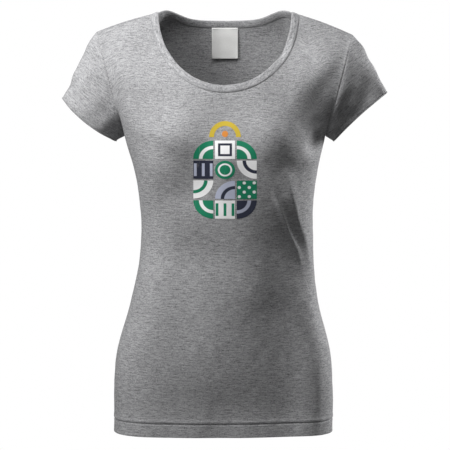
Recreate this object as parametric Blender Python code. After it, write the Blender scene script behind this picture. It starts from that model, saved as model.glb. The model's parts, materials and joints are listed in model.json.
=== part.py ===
"""A T-shirt in grey heather jersey with a scoop neck, a shaped waist and short sleeves, filled out as when worn.

Metres, +Z up, and the front faces -Y. The origin is midway between the neck ends of the two shoulder seams.
Every cloth piece is a grid of points, rows by columns, given its thickness on the inside.
"""

import bmesh
import bpy
import numpy as np
from mathutils import Vector
from mathutils.bvhtree import BVHTree

for old in list(bpy.data.objects):
    bpy.data.objects.remove(old, do_unlink=True)

# Cloth
JERSEY = 0.0010
CLEARANCE = 0.0004
SEAM_ALLOWANCE = 0.006
SEAM_THICKNESS = 0.0018
BODY_HEM_DEPTH = 0.020

# Heights of the body, downwards from the neck ends of the shoulder seams
ARMPIT_DROP = 0.181
SIDE_LENGTH = 0.440

# Widths of the body, its depths in front of and behind the side seams, and how far the wearer's stance moves
# each part of it to the right
ARMPIT_WIDTH, ARMPIT_FRONT, ARMPIT_BACK, ARMPIT_SHIFT = 0.300, 0.100, 0.094, 0.0
BUST_WIDTH, BUST_FRONT, BUST_BACK, BUST_SHIFT = 0.268, 0.111, 0.092, 0.0015
WAIST_WIDTH, WAIST_FRONT, WAIST_BACK, WAIST_SHIFT = 0.257, 0.093, 0.085, 0.0020
HIGH_HIP_WIDTH, HIGH_HIP_FRONT, HIGH_HIP_BACK, HIGH_HIP_SHIFT = 0.280, 0.096, 0.094, -0.0010
HIP_WIDTH, HIP_FRONT, HIP_BACK, HIP_SHIFT = 0.321, 0.099, 0.104, -0.0020
HEM_WIDTH, HEM_FRONT, HEM_BACK, HEM_SHIFT = 0.329, 0.099, 0.106, -0.0030

# Shoulders and neck, the neck taken at the cloth's cut edge under the binding
SHOULDER_WIDTH = 0.382
RIGHT_SHOULDER_DROP, LEFT_SHOULDER_DROP = 0.031, 0.026
SHOULDER_CROWN = 0.002
NECK_WIDTH = 0.218
NECK_FRONT_DROP, NECK_FRONT_REACH = 0.1155, 0.090
NECK_BACK_DROP, NECK_BACK_REACH = 0.0175, 0.073
BINDING_WIDTH = 0.0098
BINDING_THICKNESS = 0.0026

# Armholes and sleeves. A sleeve's opening runs from its outer tip, measured from the shoulder, to its lower
# corner, measured from the armpit
ARMHOLE_REACH = 0.046
RIGHT_TIP_OUT, RIGHT_TIP_FALL, RIGHT_OPENING_BOW = 0.0515, 0.0845, -0.003
LEFT_TIP_OUT, LEFT_TIP_FALL, LEFT_OPENING_BOW = 0.0515, 0.0985, 0.005
UNDERARM_OUT, UNDERARM_FALL = 0.012, 0.008
SLEEVE_OPENING_REACH = 0.050

# Label inside the back of the neck
LABEL_WIDTH, LABEL_HEIGHT, LABEL_THICKNESS = 0.040, 0.047, 0.0006

# Chest print: tiles in columns and rows, and an arch over them
TILE_WIDTH, TILE_HEIGHT, TILE_SPACE = 0.029, 0.0265, 0.0025
PRINT_TOP_DROP = 0.186
PRINT_FILM = 0.0003
ARCH_OUTER, ARCH_INNER, ARCH_RISE = 0.023, 0.016, 0.005
DOT_RADIUS = 0.0045

# Grid sizes
LOWER_ROWS, UPPER_ROWS, COLUMNS = 18, 12, 24
SHOULDER_COLUMNS = 4
SLEEVE_ROWS = 8

FRONT, BACK = -1, 1
UP = np.array((0.0, 0.0, 1.0))

# Share of the side's length below the armpit, then the section there: its width, depths, shift, and how
# square it is, 2 being an ellipse
BODY_STATIONS = (
    (0.00, ARMPIT_WIDTH, ARMPIT_FRONT, ARMPIT_BACK, ARMPIT_SHIFT, 2.5),
    (0.15, BUST_WIDTH, BUST_FRONT, BUST_BACK, BUST_SHIFT, 2.5),
    (0.39, WAIST_WIDTH, WAIST_FRONT, WAIST_BACK, WAIST_SHIFT, 2.5),
    (0.56, HIGH_HIP_WIDTH, HIGH_HIP_FRONT, HIGH_HIP_BACK, HIGH_HIP_SHIFT, 2.7),
    (0.74, HIP_WIDTH, HIP_FRONT, HIP_BACK, HIP_SHIFT, 3.1),
    (1.00, HEM_WIDTH, HEM_FRONT, HEM_BACK, HEM_SHIFT, 3.6),
)

# How steeply the front and the back lean towards the neck, as a share of a unit direction
FRONT_LEAN_SHARE, BACK_LEAN_SHARE = 0.38, 0.25
NECK_SIDE_SHARE, NECK_RISE_SHARES = 0.9, (0.3, 0.62)

# How fast the armhole's front and back swing out from the armpit and in towards the shoulder
ARMHOLE_SWING_SHARE, ARMHOLE_RISE_SHARES = 4, (0.5, 0.4)

# Shares across and up of the directions in which a sleeve leaves the armhole at the shoulder and at the
# armpit, and in which it reaches the opening's outer tip
TOP_LEAVE_SHARES, LOW_LEAVE_SHARES, TIP_SHARES = (0.68, -0.73), (0.8, -0.6), (0.50, -0.87)

# Shares along and across the sleeve's cloth of the direction in which the armhole's allowance stands
STAND_SHARES = (0.85, 0.5)

GREY = (0.46, 0.46, 0.48)
DARK_GREY = (0.30, 0.30, 0.32)
GREEN = (0.012, 0.18, 0.08)
WHITE = (0.88, 0.88, 0.88)
NAVY = (0.010, 0.014, 0.032)
LILAC = (0.52, 0.54, 0.66)
AMBER = (0.62, 0.22, 0.03)
GOLD = (0.55, 0.40, 0.03)
PALE_GREY = (0.66, 0.66, 0.65)
CLOTH_ROUGHNESS, INK_ROUGHNESS, SATIN_ROUGHNESS = 0.95, 0.70, 0.60


def unit(vectors):
    return vectors / np.linalg.norm(vectors, axis=-1, keepdims=True)


def between(first, second, share):
    return first + (second - first) * share


def pulled_curve(start, start_pull, end, end_pull, share):
    """Points of the cubic curve that leaves start along start_pull and reaches end along end_pull."""
    back = 1 - share
    return (
        back * back * (1 + 2 * share) * start
        + back * back * share * start_pull
        + share * share * (1 + 2 * back) * end
        - share * share * back * end_pull
    )


def station_sizes(share):
    """The section's sizes at this share of the side's length, on a smooth curve."""
    table = np.array(BODY_STATIONS)
    slopes = np.gradient(table[:, 1:], table[:, 0], axis=0)
    below = min(max(int(np.searchsorted(table[:, 0], share)), 1), len(table) - 1)
    span = table[below, 0] - table[below - 1, 0]
    return pulled_curve(
        table[below - 1, 1:],
        slopes[below - 1] * span,
        table[below, 1:],
        slopes[below] * span,
        (share - table[below - 1, 0]) / span,
    )


def section_row(facing, share):
    """One row of a panel across the body, from the +X side seam to the other."""
    width, front, back, shift, squareness = station_sizes(share)
    depth = front if facing == FRONT else back
    angle = np.linspace(0, np.pi, COLUMNS + 1)
    across = np.sign(np.cos(angle)) * np.abs(np.cos(angle)) ** (2 / squareness)
    forward = np.abs(np.sin(angle)) ** (2 / squareness)
    forward[0] = forward[-1] = 0
    down = np.full_like(angle, ARMPIT_DROP + share * SIDE_LENGTH)
    return np.column_stack((shift + width / 2 * across, facing * depth * forward, -down))


def top_edge(facing):
    """The points of a panel's top edge and the directions in which its columns arrive there."""
    drop, reach = (
        (NECK_FRONT_DROP, NECK_FRONT_REACH)
        if facing == FRONT
        else (NECK_BACK_DROP, NECK_BACK_REACH)
    )
    neck_columns = COLUMNS - 2 * SHOULDER_COLUMNS
    angle = np.linspace(0, np.pi, neck_columns + 1)
    sine = np.sin(angle)
    sine[0] = sine[-1] = 0
    neck = np.column_stack((NECK_WIDTH / 2 * np.cos(angle), facing * reach * sine, -drop * sine))
    lean_share = FRONT_LEAN_SHARE if facing == FRONT else BACK_LEAN_SHARE
    side_share, middle_share = NECK_RISE_SHARES
    neck_arrival = np.column_stack(
        (
            -NECK_SIDE_SHARE * np.cos(angle),
            np.full_like(angle, -facing * lean_share),
            side_share + middle_share * sine,
        )
    )
    share = np.linspace(0, 1, SHOULDER_COLUMNS + 1)[:-1, None]
    crown = UP * SHOULDER_CROWN * 4 * share * (1 - share)
    plus_tip = np.array((SHOULDER_WIDTH / 2, 0, -RIGHT_SHOULDER_DROP))
    minus_tip = np.array((-SHOULDER_WIDTH / 2, 0, -LEFT_SHOULDER_DROP))
    plus_seam = between(plus_tip, neck[0], share) + crown
    minus_seam = between(minus_tip, neck[-1], share) + crown
    points = np.concatenate((plus_seam, neck, minus_seam[::-1]))
    ends = np.repeat(neck_arrival[:1], SHOULDER_COLUMNS, axis=0)
    neck_arrival = unit(np.concatenate((ends, neck_arrival, ends * (-1, 1, 1))))
    seam_arrival = unit(np.array((0, -facing * STAND_SHARES[0], STAND_SHARES[1])))
    from_side = np.minimum(np.arange(COLUMNS + 1), np.arange(COLUMNS + 1)[::-1])
    neck_share = np.clip((from_side - SHOULDER_COLUMNS / 4) / (1.5 * SHOULDER_COLUMNS), 0, 1)
    neck_share = (neck_share * neck_share * (3 - 2 * neck_share))[:, None]
    return points, unit(between(seam_arrival, neck_arrival, neck_share))


def panel_grid(facing):
    """The outer points of the front or back panel, from the hem up to the shoulders and the neck."""
    hem_share = BODY_HEM_DEPTH / SIDE_LENGTH
    shares = np.concatenate(((1,), np.linspace(1 - hem_share, 0, LOWER_ROWS)))
    lower = np.array([section_row(facing, share) for share in shares])
    start = lower[-1]
    end, arrival = top_edge(facing)
    length = np.linalg.norm(end - start, axis=1, keepdims=True)
    start_pull = unit(lower[-1] - lower[-2]) * length
    end_pull = arrival * length
    rise = end - start
    swing = np.array((0, ARMHOLE_SWING_SHARE * facing * ARMHOLE_REACH, 0))
    armhole_start = rise * ARMHOLE_RISE_SHARES[0] + swing
    armhole_end = rise * ARMHOLE_RISE_SHARES[1] - swing
    from_side = np.minimum(np.arange(COLUMNS + 1), np.arange(COLUMNS + 1)[::-1])
    armhole_share = np.clip(1 - from_side / 3, 0, 1)[:, None] ** 2
    start_pull = between(start_pull, armhole_start, armhole_share)
    end_pull = between(end_pull, armhole_end, armhole_share)
    upper = [
        pulled_curve(start, start_pull, end, end_pull, row / UPPER_ROWS)
        for row in range(1, UPPER_ROWS + 1)
    ]
    return np.concatenate((lower, upper))


def sleeve_grid(side, tip_out, tip_fall, bow, front, back):
    """The outer points of a sleeve, in rings from the armhole to the opening; side is 1 at +X and -1 at -X."""
    column = 0 if side > 0 else -1
    front_edge = front[LOWER_ROWS:, column]
    back_edge = back[LOWER_ROWS:, column]
    armhole = np.concatenate((front_edge, back_edge[-2:0:-1]))
    count = len(armhole)
    angle = np.pi + 2 * np.pi * np.arange(count) / count
    tip = front_edge[-1] + np.array((side * tip_out, 0, -tip_fall))
    corner = front_edge[0] + np.array((side * UNDERARM_OUT, 0, -UNDERARM_FALL))
    middle, half = (tip + corner) / 2, (tip - corner) / 2
    reach = np.array((0, SLEEVE_OPENING_REACH, 0))
    outwards = unit(np.array((side * half[2], 0, -side * half[0])))
    opening = middle + np.outer(np.cos(angle), half) + np.outer(np.sin(angle), reach)
    opening += np.outer(np.sin(angle) ** 2, outwards * bow)
    upward_share = (1 + np.cos(angle[:, None])) / 2
    top_leave, low_leave, top_arrive = (
        np.array((side * across_share, 0, up_share))
        for across_share, up_share in (TOP_LEAVE_SHARES, LOW_LEAVE_SHARES, TIP_SHARES)
    )
    length = np.linalg.norm(opening - armhole, axis=1, keepdims=True)
    leave = between(low_leave, top_leave, upward_share) * length
    arrive = between(low_leave, top_arrive, upward_share) * length
    return np.array(
        [
            pulled_curve(armhole, leave, opening, arrive, row / SLEEVE_ROWS)
            for row in range(SLEEVE_ROWS + 1)
        ]
    )


def ring_gradient(points):
    return (np.roll(points, -1, axis=0) - np.roll(points, 1, axis=0)) / 2


def grid_normals(grid, inside, ring):
    """The outward normals of a grid; inside holds a point within the body for each point of the grid."""
    if ring:
        along = (np.roll(grid, -1, axis=1) - np.roll(grid, 1, axis=1)) / 2
    else:
        along = np.gradient(grid, axis=1)
    normals = unit(np.cross(along, np.gradient(grid, axis=0)))
    outward = np.sign((normals * (grid - inside)).sum())
    return normals * outward


def share_normals(grids, normals):
    """Gives the points that pieces have in common, along their seams, the mean of the pieces' normals."""
    points = np.concatenate([grid.reshape(-1, 3) for grid in grids])
    each = np.concatenate([normal.reshape(-1, 3) for normal in normals])
    micrometres = np.round(points * 1e6).astype(int)
    _, place = np.unique(micrometres, axis=0, return_inverse=True)
    place = place.reshape(-1)
    total = np.zeros((place.max() + 1, 3))
    np.add.at(total, place, each)
    shared = unit(total)[place]
    ends = np.cumsum([grid.shape[0] * grid.shape[1] for grid in grids])[:-1]
    return [part.reshape(grid.shape) for part, grid in zip(np.split(shared, ends), grids)]


def drawn_in(edge, tangent, normal, inner):
    """How far to move an edge towards the inner points so that half the clearance is free beside it."""
    way = unit(np.cross(tangent, normal))
    sign = np.sign((way * (inner - edge)).sum(axis=1, keepdims=True))
    return way * sign * (CLEARANCE / 2)


def seam_gaps(grid, normals, ring):
    """The grid moved back from its seams; a sleeve's only seam is its first ring, a panel's hem has none."""
    moved = grid.copy()
    if ring:
        moved[0] += drawn_in(grid[0], ring_gradient(grid[0]), normals[0], grid[1])
        return moved
    moved[-1] += drawn_in(grid[-1], np.gradient(grid[-1], axis=0), normals[-1], grid[-2])
    for edge, inner in ((0, 1), (-1, -2)):
        tangent = np.gradient(grid[:, edge], axis=0)
        moved[:, edge] += drawn_in(grid[:, edge], tangent, normals[:, edge], grid[:, inner])
    return moved


def triangles(index, wrap_rows=False, wrap_columns=False):
    """The triangles of a grid of point numbers; wrapping joins its last row or column to its first."""
    if wrap_rows:
        index = np.concatenate((index, index[:1]))
    if wrap_columns:
        index = np.concatenate((index, index[:, :1]), axis=1)
    a, b = index[:-1, :-1].ravel(), index[:-1, 1:].ravel()
    c, d = index[1:, 1:].ravel(), index[1:, :-1].ravel()
    return np.concatenate((np.column_stack((a, b, c)), np.column_stack((a, c, d)))).tolist()


def add_object(name, points, faces, look):
    """Adds a closed body with its own material; look is its colour, roughness and metallic value."""
    mesh = bpy.data.meshes.new(name)
    mesh.from_pydata(points.tolist(), [], faces)
    solid = bmesh.new()
    solid.from_mesh(mesh)
    bmesh.ops.recalc_face_normals(solid, faces=solid.faces)
    solid.to_mesh(mesh)
    solid.free()
    colour, roughness, metallic = look
    material = bpy.data.materials.new(name + "_look")
    material.use_nodes = True
    shader = material.node_tree.nodes["Principled BSDF"]
    shader.inputs["Base Color"].default_value = (*colour, 1)
    shader.inputs["Roughness"].default_value = roughness
    shader.inputs["Metallic"].default_value = metallic
    mesh.materials.append(material)
    mesh.shade_smooth()
    bpy.context.scene.collection.objects.link(bpy.data.objects.new(name, mesh))


def add_sheet(name, outer, inner, ring, look):
    """Adds the body between two grids of points, closed round its borders."""
    rows, columns, _ = outer.shape
    first = np.arange(rows * columns).reshape(rows, columns)
    second = first + rows * columns
    faces = triangles(first, wrap_columns=ring) + triangles(second, wrap_columns=ring)
    faces += triangles(np.stack((first[0], second[0])), wrap_columns=ring)
    faces += triangles(np.stack((first[-1], second[-1])), wrap_columns=ring)
    if not ring:
        faces += triangles(np.stack((first[:, 0], second[:, 0])))
        faces += triangles(np.stack((first[:, -1], second[:, -1])))
    add_object(name, np.concatenate((outer.reshape(-1, 3), inner.reshape(-1, 3))), faces, look)


def add_closed_band(name, grid, look):
    """Adds a band that runs right round; the grid's rows go round its section, its columns along it."""
    rows, columns, _ = grid.shape
    index = np.arange(rows * columns).reshape(rows, columns)
    faces = triangles(index, wrap_rows=True, wrap_columns=True)
    add_object(name, grid.reshape(-1, 3), faces, look)


def add_layer(name, base, normals, depth, thickness, ring, look):
    """Adds a strip that lies inside another layer, its outer face this depth below the base points."""
    add_sheet(name, base - normals * depth, base - normals * (depth + thickness), ring, look)


def shortened(rows, end_gap):
    """The rows with the first and the last moved inwards along the strip by end_gap."""
    cut = rows.copy()
    for end, inner in ((0, 1), (-1, -2)):
        span = np.linalg.norm(rows[inner] - rows[end], axis=-1, keepdims=True)
        cut[end] = between(rows[end], rows[inner], end_gap / span)
    return cut


# The four panels of jersey
cloth_look = (GREY, CLOTH_ROUGHNESS, 0)
front = panel_grid(FRONT)
back = panel_grid(BACK)
plus_sleeve = sleeve_grid(1, RIGHT_TIP_OUT, RIGHT_TIP_FALL, RIGHT_OPENING_BOW, front, back)
minus_sleeve = sleeve_grid(-1, LEFT_TIP_OUT, LEFT_TIP_FALL, LEFT_OPENING_BOW, front, back)
grids = (front, back, plus_sleeve, minus_sleeve)
own_normals = [grid_normals(grid, grid * UP, False) for grid in (front, back)]
own_normals += [
    grid_normals(grid, grid.mean(axis=1, keepdims=True), True) for grid in (plus_sleeve, minus_sleeve)
]
normals = share_normals(grids, own_normals)
inner_points = {}
for name, grid, normal in zip(
    ("front_panel", "back_panel", "right_sleeve", "left_sleeve"), grids, normals
):
    is_ring = name.endswith("sleeve")
    outer = seam_gaps(grid, normal, is_ring)
    inner_points[name] = outer - normal * JERSEY
    add_sheet(name, outer, inner_points[name], is_ring, cloth_look)
front_normals, back_normals, plus_normals, minus_normals = normals
front_outer = seam_gaps(front, front_normals, False)

# The hem turned up inside the body, all round
layer_depth = JERSEY + CLEARANCE
hem_points = np.concatenate((front[:2], back[:2, -2:0:-1]), axis=1)
hem_normals = np.concatenate((front_normals[:2], back_normals[:2, -2:0:-1]), axis=1)
add_layer("body_hem", hem_points, hem_normals, layer_depth, JERSEY, True, cloth_look)

# The hem turned up inside each sleeve
for name, grid, normal in (
    ("right_sleeve_hem", plus_sleeve, plus_normals),
    ("left_sleeve_hem", minus_sleeve, minus_normals),
):
    add_layer(name, grid[-3:], normal[-3:], layer_depth, JERSEY, True, cloth_look)

# The binding: a folded strip round the neck, outside the panels' cut edge
neck_columns = slice(SHOULDER_COLUMNS, COLUMNS - SHOULDER_COLUMNS + 1)
back_columns = slice(COLUMNS - SHOULDER_COLUMNS - 1, SHOULDER_COLUMNS, -1)
neck_edge = np.concatenate((front[-1, neck_columns], back[-1, back_columns]))
neck_normals = np.concatenate((front_normals[-1, neck_columns], back_normals[-1, back_columns]))
neck_below = np.concatenate((front[-2, neck_columns], back[-2, back_columns]))
neck_tangents = ring_gradient(neck_edge)
inwards = -unit(drawn_in(neck_edge, neck_tangents, neck_normals, neck_below))
# Share of the binding's width, then share of its thickness outside or inside the cloth's middle
binding_section_shares = (
    (0.00, -0.30),
    (0.00, 0.30),
    (0.12, 0.50),
    (0.80, 0.50),
    (1.00, 0.22),
    (1.00, -0.22),
    (0.80, -0.50),
    (0.12, -0.50),
)
binding_middle = neck_edge + inwards * CLEARANCE / 2 - neck_normals * JERSEY / 2
binding = np.array(
    [
        binding_middle
        + inwards * across_share * BINDING_WIDTH
        + neck_normals * out_share * BINDING_THICKNESS
        for across_share, out_share in binding_section_shares
    ]
)
add_closed_band("neck_binding", binding, cloth_look)

# The overlocked allowance of each side seam, pressed flat against the back panel
seam_look = (DARK_GREY, CLOTH_ROUGHNESS, 0)
for name, edge, inner in (("right_side_seam", 0, 1), ("left_side_seam", -1, -2)):
    rows = slice(1, LOWER_ROWS + 1)
    span = np.linalg.norm(back[rows, inner] - back[rows, edge], axis=1, keepdims=True)
    width_share = np.minimum(SEAM_ALLOWANCE / span, 1)
    strip = np.stack(
        (back[rows, edge], between(back[rows, edge], back[rows, inner], width_share)), axis=1
    )
    strip_normals = np.stack(
        (
            back_normals[rows, edge],
            between(back_normals[rows, edge], back_normals[rows, inner], width_share),
        ),
        axis=1,
    )
    strip = shortened(strip, SEAM_ALLOWANCE)
    add_layer(name, strip, strip_normals, layer_depth, SEAM_THICKNESS, False, seam_look)

# The allowance of each shoulder seam, pressed flat against the back panel
for name, columns in (
    ("right_shoulder_seam", slice(0, SHOULDER_COLUMNS + 1)),
    ("left_shoulder_seam", slice(COLUMNS - SHOULDER_COLUMNS, COLUMNS + 1)),
):
    edge, below = back[-1, columns], back[-2, columns]
    edge_normals, below_normals = back_normals[-1, columns], back_normals[-2, columns]
    width_share = np.minimum(SEAM_ALLOWANCE / np.linalg.norm(below - edge, axis=1, keepdims=True), 1)
    strip = np.stack((edge, between(edge, below, width_share)), axis=1)
    strip_normals = np.stack((edge_normals, between(edge_normals, below_normals, width_share)), axis=1)
    strip = shortened(strip, 2 * CLEARANCE + JERSEY)
    add_layer(name, strip, strip_normals, layer_depth, SEAM_THICKNESS, False, seam_look)

# The allowance of each armhole seam, standing into the sleeve
for name, grid, normal in (
    ("right_armhole_seam", plus_sleeve, own_normals[2]),
    ("left_armhole_seam", minus_sleeve, own_normals[3]),
):
    tangent = unit(ring_gradient(grid[0]))
    into_sleeve = unit(drawn_in(grid[0], tangent, normal[0], grid[1]))
    along_share, across_share = STAND_SHARES
    stand = unit(into_sleeve * along_share - normal[0] * across_share)
    away = -unit(normal[0] * along_share + into_sleeve * across_share)
    root = grid[0] - normal[0] * layer_depth + into_sleeve * CLEARANCE
    section = np.array(
        (
            root,
            root + stand * SEAM_ALLOWANCE,
            root + stand * SEAM_ALLOWANCE + away * SEAM_THICKNESS,
            root + away * SEAM_THICKNESS,
        )
    )
    add_closed_band(name, section, seam_look)


def surface_of(points):
    """The surface through a grid of points, to be met by a line along Y."""
    index = np.arange(points.shape[0] * points.shape[1]).reshape(points.shape[:2])
    return BVHTree.FromPolygons([Vector(point) for point in points.reshape(-1, 3)], triangles(index))


def laid_on(surface, places, origin_y, facing):
    """Points on the surface at these places, across and up, met from origin_y along Y."""
    laid = []
    for across, up in places.reshape(-1, 2):
        hit = surface.ray_cast(Vector((across, origin_y, up)), Vector((0, facing, 0)))[0]
        laid.append(tuple(hit))
    return np.array(laid).reshape(*places.shape[:2], 3)


def add_film(name, surface, places, origin_y, facing, thickness, look):
    """Adds a thin sheet that lies on a surface, with the clearance under it."""
    laid = laid_on(surface, places, origin_y, facing)
    out = np.array((0, -facing, 0))
    under = laid + out * CLEARANCE
    add_sheet(name, under, under + out * thickness, False, look)


def block(left, right, low, high, columns, rows):
    """Places in a rectangle."""
    across, up = np.meshgrid(np.linspace(left, right, columns + 1), np.linspace(low, high, rows + 1))
    return np.stack((across, up), axis=2)


# The bare label sewn inside the back of the neck
label_places = block(
    -LABEL_WIDTH / 2,
    LABEL_WIDTH / 2,
    -NECK_BACK_DROP - LABEL_HEIGHT - CLEARANCE * 2,
    -NECK_BACK_DROP - CLEARANCE * 2,
    6,
    6,
)
add_film(
    "neck_label",
    surface_of(inner_points["back_panel"]),
    label_places,
    0,
    BACK,
    LABEL_THICKNESS,
    (PALE_GREY, SATIN_ROUGHNESS, 0),
)

# The chest print: discs, quarter discs and bars in a block, with an arch over it
chest = surface_of(front_outer)
chest_y = -(ARMPIT_FRONT + BUST_FRONT)


def unit_places(shape):
    """A grid of places in the square from 0 to 1, bent to fill this shape."""
    share = np.linspace(0, 1, 5)
    across, up = np.meshgrid(share, share)
    if shape == "square":
        return np.stack((across, up), axis=2)
    if shape == "disc":
        across, up = 2 * across - 1, 2 * up - 1
    larger = np.maximum(np.abs(across), np.abs(up))
    length = np.hypot(across, up)
    length[length == 0] = 1
    bent = np.stack((across * larger / length, up * larger / length), axis=2)
    return (bent + 1) / 2 if shape == "disc" else bent


# Column and row from the top left, shape, whether it is turned over across and up, and colour
TILES = (
    (0, 0, "quarter", True, False, GREEN),
    (1, 0, "square", False, False, WHITE),
    (2, 0, "quarter", False, False, GREEN),
    (0, 1, "square", False, False, NAVY),
    (1, 1, "disc", False, False, GREEN),
    (2, 1, "quarter", True, True, WHITE),
    (0, 2, "quarter", False, True, WHITE),
    (1, 2, "quarter", True, False, LILAC),
    (2, 2, "square", False, False, GREEN),
    (0, 3, "quarter", True, True, GREEN),
    (1, 3, "square", False, False, WHITE),
    (2, 3, "quarter", False, True, NAVY),
)
for number, (column, row, shape, turn_across, turn_up, colour) in enumerate(TILES, 1):
    places = unit_places(shape)
    if turn_across:
        places[..., 0] = 1 - places[..., 0]
    if turn_up:
        places[..., 1] = 1 - places[..., 1]
    left = (column - 1) * (TILE_WIDTH + TILE_SPACE) - TILE_WIDTH / 2
    low = -PRINT_TOP_DROP - row * (TILE_HEIGHT + TILE_SPACE) - TILE_HEIGHT
    places = np.array((left, low)) + places * np.array((TILE_WIDTH, TILE_HEIGHT))
    look = (colour, INK_ROUGHNESS, 0)
    add_film(f"print_tile_{number:02d}", chest, places, chest_y, BACK, PRINT_FILM, look)

arch_angles = np.linspace(0, np.pi, 13)
arch_rows = np.stack(
    [
        np.column_stack((radius * np.cos(arch_angles), radius * np.sin(arch_angles)))
        for radius in (ARCH_INNER, ARCH_OUTER)
    ]
)
arch_rows[..., 1] += ARCH_RISE - PRINT_TOP_DROP
add_film("print_arch", chest, arch_rows, chest_y, BACK, PRINT_FILM, (GOLD, INK_ROUGHNESS, 0))
dot = (2 * unit_places("disc") - 1) * DOT_RADIUS
dot[..., 1] += ARCH_RISE + DOT_RADIUS - PRINT_TOP_DROP
add_film("print_dot", chest, dot, chest_y, BACK, PRINT_FILM, (AMBER, INK_ROUGHNESS, 0))
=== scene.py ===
import json
import math

import bmesh
import bpy
import numpy as np
from mathutils import Matrix, Vector
from mathutils.bvhtree import BVHTree

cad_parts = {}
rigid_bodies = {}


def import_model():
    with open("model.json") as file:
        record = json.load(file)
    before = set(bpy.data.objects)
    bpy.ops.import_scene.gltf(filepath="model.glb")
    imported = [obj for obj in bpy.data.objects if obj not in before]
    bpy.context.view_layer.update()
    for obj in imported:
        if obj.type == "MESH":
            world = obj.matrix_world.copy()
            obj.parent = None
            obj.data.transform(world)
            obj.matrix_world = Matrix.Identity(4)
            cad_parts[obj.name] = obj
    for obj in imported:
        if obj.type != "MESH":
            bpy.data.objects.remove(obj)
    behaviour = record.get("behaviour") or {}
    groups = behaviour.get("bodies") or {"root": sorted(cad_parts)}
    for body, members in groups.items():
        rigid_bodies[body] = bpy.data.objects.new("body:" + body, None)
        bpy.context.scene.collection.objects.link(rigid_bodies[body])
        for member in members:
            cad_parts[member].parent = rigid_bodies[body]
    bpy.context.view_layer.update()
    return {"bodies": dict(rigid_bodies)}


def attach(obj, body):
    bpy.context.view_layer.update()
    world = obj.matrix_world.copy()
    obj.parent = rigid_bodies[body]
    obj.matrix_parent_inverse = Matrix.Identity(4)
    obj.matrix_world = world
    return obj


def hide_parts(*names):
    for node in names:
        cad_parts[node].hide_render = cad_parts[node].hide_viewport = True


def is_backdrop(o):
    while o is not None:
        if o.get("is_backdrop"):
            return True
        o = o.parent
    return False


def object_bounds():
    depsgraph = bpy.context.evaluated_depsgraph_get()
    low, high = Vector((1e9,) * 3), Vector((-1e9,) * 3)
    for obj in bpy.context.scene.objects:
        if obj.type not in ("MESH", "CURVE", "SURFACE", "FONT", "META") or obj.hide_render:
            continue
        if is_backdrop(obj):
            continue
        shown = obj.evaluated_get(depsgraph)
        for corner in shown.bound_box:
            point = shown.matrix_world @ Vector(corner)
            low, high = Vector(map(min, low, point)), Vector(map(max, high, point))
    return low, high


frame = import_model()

BODY = next(iter(frame["bodies"]))

# The front and back panels are the two large cut pieces of heather jersey, overlocked together at the sides
# and the shoulders. The thin, soft knit takes the shape of the body under it, with shallow folds down from
# the right armhole and over the right of the waist.
FRONT, BACK = -1, 1
JERSEY = 0.0010
HEM_DEPTH = 0.020
ARMPIT_DROP, SIDE_LENGTH = 0.181, 0.440
# Share of the side's length below the armpit, width, depth in front, depth behind, shift and squareness
BODY_STATIONS = np.array(
    (
        (0.00, 0.300, 0.100, 0.094, 0.0000, 2.5),
        (0.15, 0.268, 0.111, 0.092, 0.0015, 2.5),
        (0.39, 0.257, 0.093, 0.085, 0.0020, 2.5),
        (0.56, 0.280, 0.096, 0.094, -0.0010, 2.7),
        (0.74, 0.321, 0.099, 0.104, -0.0020, 3.1),
        (1.00, 0.329, 0.099, 0.106, -0.0030, 3.6),
    )
)
SHOULDER_WIDTH, SHOULDER_CROWN = 0.382, 0.002
RIGHT_SHOULDER_DROP, LEFT_SHOULDER_DROP = 0.031, 0.026
NECK_WIDTH = 0.218
NECK = {FRONT: (0.1155, 0.090, 0.38), BACK: (0.0175, 0.073, 0.25)}  # drop, reach, lean share
ARMHOLE_REACH = 0.046
SHOULDER_SHARE = 1 / 6  # the part of a panel's width that each shoulder seam takes at its top


def unit(vectors):
    return vectors / np.linalg.norm(vectors, axis=-1, keepdims=True)


def between(first, second, share):
    return first + (second - first) * share


def smooth(value):
    """A smooth step from 0 to 1."""
    value = np.clip(value, 0, 1)
    return value * value * (3 - 2 * value)


def pulled_curve(start, start_pull, end, end_pull, share):
    """Points of the cubic curve that leaves start along start_pull and reaches end along end_pull."""
    back = 1 - share
    return (
        back * back * (1 + 2 * share) * start
        + back * back * share * start_pull
        + share * share * (1 + 2 * back) * end
        - share * share * back * end_pull
    )


def lengths_along(line):
    """The length of a line, or of each of a row of lines, up to each of its points."""
    steps = np.linalg.norm(np.diff(line, axis=0), axis=-1)
    return np.concatenate((np.zeros((1, *steps.shape[1:])), np.cumsum(steps, axis=0)))


def facing_out(first, second, outward):
    """Unit normals of two directions, turned to the side that outward gives."""
    normals = unit(np.cross(first, second))
    return normals * np.sign((normals * outward).sum(axis=-1, keepdims=True))


def section_points(facing, across, share):
    """Points of the body's sections; share runs from 0 at the armpit to 1 at the hem."""
    table = BODY_STATIONS
    slopes = np.gradient(table[:, 1:], table[:, 0], axis=0)
    below = np.clip(np.searchsorted(table[:, 0], share), 1, len(table) - 1)
    span = (table[below, 0] - table[below - 1, 0])[..., None]
    into = (share - table[below - 1, 0])[..., None] / span
    sizes = pulled_curve(
        table[below - 1, 1:], slopes[below - 1] * span, table[below, 1:], slopes[below] * span, into
    )
    width, front, back, shift, squareness = np.moveaxis(sizes, -1, 0)
    cosine = np.cos(np.pi * across)
    sine = np.clip(np.sin(np.pi * across), 0, 1)
    x = shift + width / 2 * np.sign(cosine) * np.abs(cosine) ** (2 / squareness)
    y = facing * (front if facing == FRONT else back) * sine ** (2 / squareness)
    return np.stack((x, y, -ARMPIT_DROP - share * SIDE_LENGTH), axis=-1)


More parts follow.
